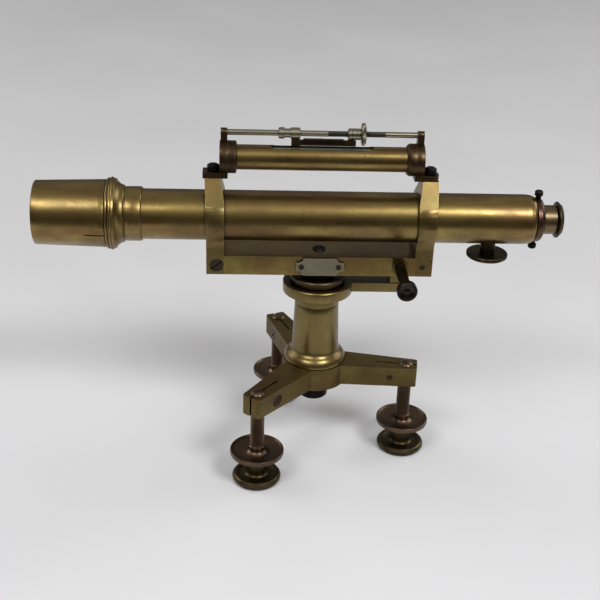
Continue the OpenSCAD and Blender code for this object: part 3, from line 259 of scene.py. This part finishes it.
# Brass rubbed by the fingers that turn the eyepiece: pale on every edge
sleeve_brass = old_metal("handled_brass", "7c6a49", "5f5038", "1c150e", 0.28, turned_along="x",
                         worn="a8946a", stain="5e4a34", lacquer=0.2)
# Bronze that the fingers have blackened
knob_bronze = old_metal("fingered_bronze", "38302a", "27211c", "0d0b09", 0.24, turned_along="y",
                        worn="75675a", stain="2a2019", lacquer=0.15)
# Steel browned by rust and oil, and steel blackened with hot oil
brown_steel = old_metal("browned_steel", "51473a", "3a322a", "14100c", 0.32, worn="75654f",
                        stain="3a2e26")
black_steel = old_metal("blackened_steel", "2c2a28", "1e1c1a", "0b0a09", 0.36, worn="5a554e",
                        stain="1a1715")
# Nickel silver: a grey white metal that yellows as it ages
rod_nickel = old_metal("nickel_silver_turned", "aaa691", "8b8774", "38342a", 0.22,
                       turned_along="x", spots=0.4, stain="80745c")
plate_nickel = old_metal("nickel_silver_plate", "9c9884", "827e6a", "403c30", 0.30, spots=0.6,
                         stain="80745c", worn="c4c0ac")
# The same metal with oil and dirt in its thread
thread_nickel = old_metal("nickel_silver_oiled", "56534a", "413f38", "12110e", 0.36,
                          stain="3c3a34")


def glass(name, tint, ior):
    """A clear polished solid with a slight tint."""
    material, _, shader, _ = new_material(name)
    shader.inputs["Base Color"].default_value = linear(tint)
    shader.inputs["Transmission Weight"].default_value = 1
    shader.inputs["IOR"].default_value = ior
    shader.inputs["Roughness"].default_value = 0
    return material


# Crown glass, ground and polished
lens_glass = glass("polished_crown_glass", "eef6f2", 1.52)
# Old soda glass tube, faintly green
vial_glass = glass("drawn_soda_glass", "c4c8b0", 1.50)
# Alcohol gone brownish yellow, and the air in it seen from the alcohol's side
spirit = glass("tinted_alcohol", "98885a", 1.36)
air = glass("air_in_alcohol", "ffffff", 0.735)


def old_mirror():
    """Glass silvered on its back a century ago: brown grey, with upright streaks."""
    material, tree, shader, place = new_material("tarnished_silvering")
    streaks = noise(tree, place, 1.3, 3, 0.6, stretch=(1, 0.05, 0.05), stops=((0.35, 0), (0.7, 1)))
    blots = noise(tree, place, 6, 4, 0.6, stops=((0.4, 0), (0.65, 1)))
    colour = mixed(tree, streaks, linear("5a4a40"), linear("2e2622"))
    colour = mixed(tree, blots, colour, linear("443830"))
    tree.links.new(colour, shader.inputs["Base Color"])
    shader.inputs["Metallic"].default_value = 1
    shader.inputs["Roughness"].default_value = 0.28
    return material


silvering = old_mirror()


def fine_cork():
    """Cork of bottle stoppers: tan with darker grains about 0.8 mm across."""
    material, tree, shader, place = new_material("fine_cork")
    grains = noise(tree, place, 0.8, 3, 0.6, stops=((0.42, "8a6a40"), (0.6, "bb9868")))
    tree.links.new(grains, shader.inputs["Base Color"])
    shader.inputs["Roughness"].default_value = 0.85
    bump = add(tree, "ShaderNodeBump", {"Height": grains, "Strength": 0.4, "Distance": 0.1 * MM})
    tree.links.new(bump.outputs[0], shader.inputs["Normal"])
    return material


cork = fine_cork()

FINISHES = {
    base_brass: ["tribrach"],
    beam_brass: ["beam"],
    wye_brass: ["objective_wye", "eyepiece_wye", "tangent_nut"],
    shaded_brass: ["clamp_collar"],
    spindle_brass_painted_shade: ["spindle"],
    column_brass: ["column", "tangent_bush"],
    tube_brass: ["main_tube", "objective_cell", "sunshade", "draw_tube", "vial_tube",
                 "draw_bush"],
    brown_coat: ["objective_bracket", "eyepiece_bracket", "objective_collar", "eyepiece_collar",
                 "mirror_frame", "lens_ring", "focus_rack", "spindle_nut"],
    green_coat: ["foot_plate_a", "foot_plate_b", "foot_plate_c", "focus_pinion", "focus_knob",
                 "pinion_bush", "eyepiece_cap", "eyepiece_tube"],
    screw_bronze: ["foot_screw_a", "foot_screw_b", "foot_screw_c"],
    lengthwise_bronze: ["reticle_ring"],
    sleeve_brass: ["eyepiece_sleeve"],
    cross_bronze: ["tangent_screw", "arm_clamp_screws"],
    knob_bronze: ["tangent_knob"],
    brown_steel: ["nameplate_screws", "wye_pivot_screw", "wye_lock_screw"],
    black_steel: ["tripod_nut", "spindle_screw", "reticle_screws", "bracket_screws"],
    rod_nickel: ["mirror_rod", "mirror_front_hub", "mirror_rear_hub", "thumb_nut"],
    plate_nickel: ["nameplate"],
    lens_glass: ["objective_crown", "objective_flint", "reticle_glass", "field_lens",
                 "eye_lens"],
    vial_glass: ["vial_glass"],
    silvering: ["mirror_glass"],
    cork: ["vial_plugs"],
}
finish_of = {name: material for material, names in FINISHES.items() for name in names}
for name, node in nodes.items():
    node.data.materials.clear()
    node.data.materials.append(finish_of[name])

# Pieces made here

# Edges of the made pieces that bend more than the first angle stay sharp, and edges of the
# frame's pieces that bend more than the second are rounded
SHARP_ANGLE = math.radians(32)
BROKEN_ANGLE = math.radians(38)


def finish_piece(name, mesh, place, node, material=None, replaced=True):
    """Puts a mesh in its place, and gives it the node's finish and the node's body."""
    bmesh.ops.transform(mesh, matrix=place, verts=mesh.verts)
    bmesh.ops.recalc_face_normals(mesh, faces=mesh.faces)
    data = bpy.data.meshes.new(name)
    mesh.to_mesh(data)
    mesh.free()
    data.shade_smooth()
    data.set_sharp_from_angle(angle=SHARP_ANGLE)
    piece = bpy.data.objects.new(name, data)
    bpy.context.scene.collection.objects.link(piece)
    data.materials.append(material or finish_of[node])
    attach(piece, nodes[node]["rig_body"])
    if replaced:
        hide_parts(node)
    return piece


def break_edges(piece, width_mm):
    """Rounds the sharp edges of a piece, as the file or the cloth leaves them."""
    weld = piece.modifiers.new("weld", "WELD")
    weld.merge_threshold = 0.002 * MM
    bevel = piece.modifiers.new("broken_edges", "BEVEL")
    bevel.width = width_mm * MM
    bevel.segments = 2
    bevel.limit_method = "ANGLE"
    bevel.angle_limit = BROKEN_ANGLE
    bevel.harden_normals = True
    bevel.use_clamp_overlap = True


def along(axis, point):
    """Stands a piece that was made along +Z on a point, along another axis."""
    turn = Vector(UP).rotation_difference(Vector(axis)).to_matrix().to_4x4()
    return Matrix.Translation(point) @ turn


def turned(profile, steps=96, closed=False):
    """A piece from the lathe: profile is a row of (radius, height) points."""
    mesh = bmesh.new()
    points = [mesh.verts.new((radius * MM, 0, height * MM)) for radius, height in profile]
    pairs = list(zip(points, points[1:])) + ([(points[-1], points[0])] if closed else [])
    edges = [mesh.edges.new(pair) for pair in pairs]
    bmesh.ops.spin(mesh, geom=points + edges, cent=(0, 0, 0), axis=UP, dvec=(0, 0, 0),
                   angle=math.tau, steps=steps, use_merge=True, use_duplicate=False)
    bmesh.ops.remove_doubles(mesh, verts=mesh.verts, dist=0.001 * MM)
    return mesh


def knurl(mesh, low, high, inner, depth):
    """Presses every second point of a rim inward, between two heights and outside a radius."""
    teeth = {}
    for vert in mesh.verts:
        radius = math.hypot(vert.co.x, vert.co.y)
        if low * MM <= vert.co.z <= high * MM and radius >= inner * MM:
            angle = round(math.degrees(math.atan2(vert.co.y, vert.co.x)), 3)
            teeth.setdefault(angle, []).append(vert)
    pressed = [v for angle in sorted(teeth)[::2] for v in teeth[angle]]
    radius = max(math.hypot(v.co.x, v.co.y) for v in pressed)
    shrink = 1 - depth * MM / radius
    bmesh.ops.scale(mesh, vec=(shrink, shrink, 1), verts=pressed)


def arc(radius, height, size, start, end, steps):
    """Points of an arc round a point of a profile, from one angle to another in degrees."""
    turns = [math.radians(start + (end - start) * i / steps) for i in range(steps + 1)]
    return [(radius + size * math.cos(a), height + size * math.sin(a)) for a in turns]


def thread(radius, low, high, pitch, depth):
    """Points of a screw thread cut as rings, from low to high."""
    turns = round((high - low) / pitch)
    step = (high - low) / turns
    rings = [[(radius - depth, low + i * step), (radius, low + (i + 0.5) * step)]
             for i in range(turns)]
    return [point for ring in rings for point in ring] + [(radius - depth, high)]


# Levelling screws, from the foot plate up: an upright knurled rim with a thin lip, a shallow
# dish, a collar, a fine thread and a round head
STEM_R, RIM_R, LIP_R, COLLAR_R, HEAD_SPHERE_R = 4.4, 17.1, 0.7, 5.2, 5.91
RIM_LOW, RIM_HIGH, LIP_Z, HEAD_LOW = 20.4, 21.9, 22.2, 63.7
SCREW_PITCH, SCREW_DEPTH, KNURL_DEPTH = 0.9, 0.16, 0.14
SCREW = ([(0, 6.3), (3.4, 6.3), (STEM_R, 7.3), (STEM_R, 13.7), (5.8, 13.7), (5.8, 14.9),
          (12.3, 18.7), (15.4, 19.2), (16.5, 19.5), (16.95, 19.95), (RIM_R, RIM_LOW),
          (RIM_R, RIM_HIGH)]
         + arc(RIM_R - LIP_R, LIP_Z, LIP_R, 0, 150, 6)
         + [(15.3, 22.2), (13.9, 21.8), (11.4, 21.2), (9.0, 20.75), (7.6, 20.8), (6.6, 21.2),
            (5.7, 22.1), (COLLAR_R, 22.5), (COLLAR_R, 25.5), (STEM_R, 26.0), (STEM_R, 26.6)]
         + thread(STEM_R, 27, HEAD_LOW - 0.5, SCREW_PITCH, SCREW_DEPTH)
         + [(STEM_R, HEAD_LOW), (STEM_R + 0.1, HEAD_LOW)]
         + arc(0, 59.99, HEAD_SPHERE_R, 39.4, 90, 8))
for letter in "abc":
    foot = middle(f"foot_plate_{letter}")
    mesh = turned(SCREW, steps=192)
    knurl(mesh, RIM_LOW - 0.1, RIM_HIGH + 0.1, RIM_R - 0.05, KNURL_DEPTH)
    finish_piece(f"levelling_screw_{letter}", mesh, along(UP, (foot.x, foot.y, GROUND)),
                 f"foot_screw_{letter}")

# Focusing knob: a groove between two knurled rims
BUSH_GAP = 0.3
knob_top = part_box("pinion_bush")[0].z - BUSH_GAP * MM
KNOB_R, KNOB_GROOVE_R, KNOB_KNURL = 13.0, 12.4, 0.16
KNOB = [(0, -1.9), (10.0, -1.9), (12.2, -1.7), (12.8, -1.2), (KNOB_R, -0.9), (KNOB_R, -0.45),
        (KNOB_GROOVE_R, -0.2), (KNOB_GROOVE_R, 0.0), (KNOB_R, 0.2), (KNOB_R, 0.7), (12.7, 1.05),
        (12.3, 1.2), (11.8, 1.0), (9.4, 0.5), (5.9, 0.0), (2.25, 0.0), (2.25, -1.55),
        (0, -1.55)]
mesh = turned(KNOB, steps=240)
knurl(mesh, -1.0, -0.4, KNOB_R - 0.1, KNOB_KNURL)
knurl(mesh, 0.1, 0.8, KNOB_R - 0.1, KNOB_KNURL)
finish_piece("focusing_knob", mesh, along(UP, (FOCUS.x, FOCUS.y, knob_top)), "focus_knob")

# Thumb nut: a thin knurled disc
nut_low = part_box("thumb_nut")[0]
NUT_R, NUT_BORE_R, NUT_L = 6.8, 1.8, 3.3
NUT = [(NUT_BORE_R, 0), (4.2, 0), (6.2, 0.5), (NUT_R, 0.95), (NUT_R, 2.35), (6.2, 2.8),
       (4.2, NUT_L), (NUT_BORE_R, NUT_L)]
mesh = turned(NUT, steps=96, closed=True)
knurl(mesh, 0.9, 2.4, NUT_R - 0.1, 0.25)
finish_piece("knurled_thumb_nut", mesh, along(TO_EYE, (nut_low.x, ROD.y, ROD.z)), "thumb_nut")

# Rod: plain at both ends, with an oily thread between its middle and the eyepiece's side
rod_low, rod_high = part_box("mirror_rod")
rod_l = (rod_high.x - rod_low.x) / MM
ROD_R, CORE_R, END_R = 1.75, 1.3, 1.45
thread_x0, thread_x1 = 2.5 - rod_low.x / MM, 37 - rod_low.x / MM
ROD_POINTS = [(0, 0), (END_R, 0), (ROD_R, 0.3), (ROD_R, thread_x0), (CORE_R, thread_x0),
              (CORE_R, thread_x1), (ROD_R, thread_x1), (ROD_R, rod_l - 0.3), (END_R, rod_l),
              (0, rod_l)]
rod_place = along(TO_EYE, (rod_low.x, ROD.y, ROD.z))
finish_piece("plain_rod", turned(ROD_POINTS, steps=40), rod_place, "mirror_rod")
finish_piece("rod_thread",
             turned([(CORE_R, thread_x0)] + thread(ROD_R, thread_x0, thread_x1, 0.6, 0.16)
                    + [(CORE_R, thread_x1)], steps=40, closed=True),
             rod_place.copy(), "mirror_rod", material=thread_nickel)

# Eyepiece sleeve with the fine grooves of the tool
sleeve_low, sleeve_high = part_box("eyepiece_sleeve")
sleeve_l = (sleeve_high.x - sleeve_low.x) / MM
SLEEVE_R, SLEEVE_BORE_R = 9.1, 8.05
SLEEVE = ([(SLEEVE_BORE_R, 0), (9.0, 0), (SLEEVE_R, 0.1), (SLEEVE_R, 2.2)]
          + thread(SLEEVE_R, 2.4, sleeve_l - 0.3, 0.55, 0.07)
          + [(8.9, sleeve_l), (SLEEVE_BORE_R, sleeve_l)])
finish_piece("grooved_sleeve", turned(SLEEVE, steps=128, closed=True),
             along(TO_EYE, (sleeve_low.x, 0, AXIS_Z)), "eyepiece_sleeve")

# Spirit, bubble and graduation of the vial
SPIRIT_R, SPIRIT_HALF_L, SPIRIT_ROUND = 5.16, 40.6, 0.6
BUBBLE_HALVES, BUBBLE_RISE = (12, 2.9, 1.5), 3.55
MARK_PLACES = (-22, -20, -18, -16, -14, 14, 16, 18, 20, 22)
MARK_IN_R, MARK_OUT_R, MARK_HALF = 6.42, 6.52, 0.09
side = [(SPIRIT_R - 0.56, SPIRIT_HALF_L), (SPIRIT_R, SPIRIT_HALF_L - SPIRIT_ROUND)]
finish_piece("vial_spirit", turned([(0, -SPIRIT_HALF_L)] + [(x, -z) for x, z in side]
                                   + side[::-1] + [(0, SPIRIT_HALF_L)], steps=64),
             along(TO_EYE, (VIAL.x, VIAL.y, VIAL.z)), "vial_glass", material=spirit,
             replaced=False)
mesh = bmesh.new()
bmesh.ops.create_uvsphere(mesh, u_segments=48, v_segments=24, radius=1)
bmesh.ops.scale(mesh, vec=[half * MM for half in BUBBLE_HALVES], verts=mesh.verts)
finish_piece("vial_bubble", mesh,
             Matrix.Translation((VIAL.x, VIAL.y, VIAL.z + BUBBLE_RISE * MM)),
             "vial_glass", material=air, replaced=False)
for index, offset in enumerate(MARK_PLACES):
    mark = turned([(MARK_IN_R, -MARK_HALF), (MARK_OUT_R, -MARK_HALF), (MARK_OUT_R, MARK_HALF),
                   (MARK_IN_R, MARK_HALF)], steps=72, closed=True)
    finish_piece(f"vial_mark_{index}", mark,
                 along(TO_EYE, (VIAL.x + offset * MM, VIAL.y, VIAL.z)), "vial_glass",
                 material=black_steel, replaced=False)

# Edges of the frame's own pieces
EDGES = {
    0.35: ["tribrach", "beam", "clamp_collar"],
    0.30: ["objective_wye", "eyepiece_wye", "objective_bracket", "eyepiece_bracket"],
    0.15: ["column", "spindle", "nameplate", "mirror_frame", "sunshade", "objective_cell",
           "tripod_nut", "bracket_screws", "objective_collar", "eyepiece_collar"],
}
for width, names in EDGES.items():
    for name in names:
        break_edges(nodes[name], width)

# Floor and room: a sheet of white paper that ends in front of the picture, in a grey room with a
# paler ceiling
material, tree, shader, place = new_material("white_paper_sweep")
tone = noise(tree, place, 220, 2, 0.5, stops=((0.3, "dcdcdf"), (0.7, "e2e2e5")))
tree.links.new(tone, shader.inputs["Base Color"])
shader.inputs["Roughness"].default_value = 0.75
SHEET_FRONT, SHEET_HALF, SHEET_GAP = -0.33, 3, 0.05 * MM
mesh = bmesh.new()
bmesh.ops.create_grid(mesh, x_segments=8, y_segments=8, size=SHEET_HALF)
bmesh.ops.translate(mesh, vec=(0, SHEET_HALF + SHEET_FRONT, GROUND - SHEET_GAP),
                    verts=mesh.verts)
data = bpy.data.meshes.new("floor")
mesh.to_mesh(data)
mesh.free()
data.materials.append(material)
floor = bpy.data.objects.new("floor", data)
bpy.context.scene.collection.objects.link(floor)

world = bpy.data.worlds.new("studio")
bpy.context.scene.world = world
world.use_nodes = True
tree = world.node_tree
way = add(tree, "ShaderNodeTexCoord").outputs["Generated"]
parts = add(tree, "ShaderNodeSeparateXYZ", {"Vector": way})
room = add(tree, "ShaderNodeValToRGB", {"Fac": parts.outputs["Z"]},
           stops=((0.0, "4a4843"), (0.3, "66645f"), (0.75, "a3a19e")))
light = add(tree, "ShaderNodeBackground", {"Color": room.outputs[0], "Strength": 1})
tree.links.new(light.outputs[0], tree.nodes["World Output"].inputs["Surface"])


def softbox(name, place, aim, width, height, watts):
    """A rectangular lamp that looks at a point."""
    lamp = bpy.data.lights.new(name, "AREA")
    lamp.shape = "RECTANGLE"
    lamp.size, lamp.size_y = width, height
    lamp.energy = watts
    holder = bpy.data.objects.new(name, lamp)
    holder.location = place
    holder.rotation_euler = (Vector(aim) - Vector(place)).to_track_quat("-Z", "Y").to_euler()
    bpy.context.scene.collection.objects.link(holder)


# Two softboxes in front give the long bands on the tubes, and two walls light the paper
LEVEL = (0, 0, 0.10)
FAR_PAPER = (0, 0.4, 0)
softbox("left_softbox", (-0.60, -0.80, 1.15), LEVEL, 0.60, 0.33, 6.4)
softbox("right_softbox", (0.60, -0.80, 1.15), LEVEL, 0.46, 0.33, 10)
softbox("left_wall", (-2.0, 0.9, 1.3), FAR_PAPER, 1.4, 1.4, 15)
softbox("right_wall", (2.0, 0.9, 1.3), FAR_PAPER, 1.4, 1.4, 15)

# The photograph's camera, fitted to the ruler's marks and to the level's parallel parts
SENSOR_MM, LENS_MM = 36, 64.31
CAMERA_PLACE = (-0.04587, -0.61979, 0.37256)
camera_data = bpy.data.cameras.new("camera")
camera_data.sensor_width = SENSOR_MM
camera_data.lens = LENS_MM
camera_data.clip_start = 0.01
camera = bpy.data.objects.new("camera", camera_data)
RIGHT = Vector((0.99865, -0.04077, 0.03206))
DOWN = Vector((0.01083, -0.44050, -0.89769))
AHEAD = Vector((0.05072, 0.89683, -0.43946))
turn = Matrix((RIGHT, -DOWN, -AHEAD)).transposed().to_4x4()
camera.matrix_world = Matrix.Translation(CAMERA_PLACE) @ turn
bpy.context.scene.collection.objects.link(camera)
bpy.context.scene.camera = camera
bpy.context.scene.view_settings.view_transform = "Standard"
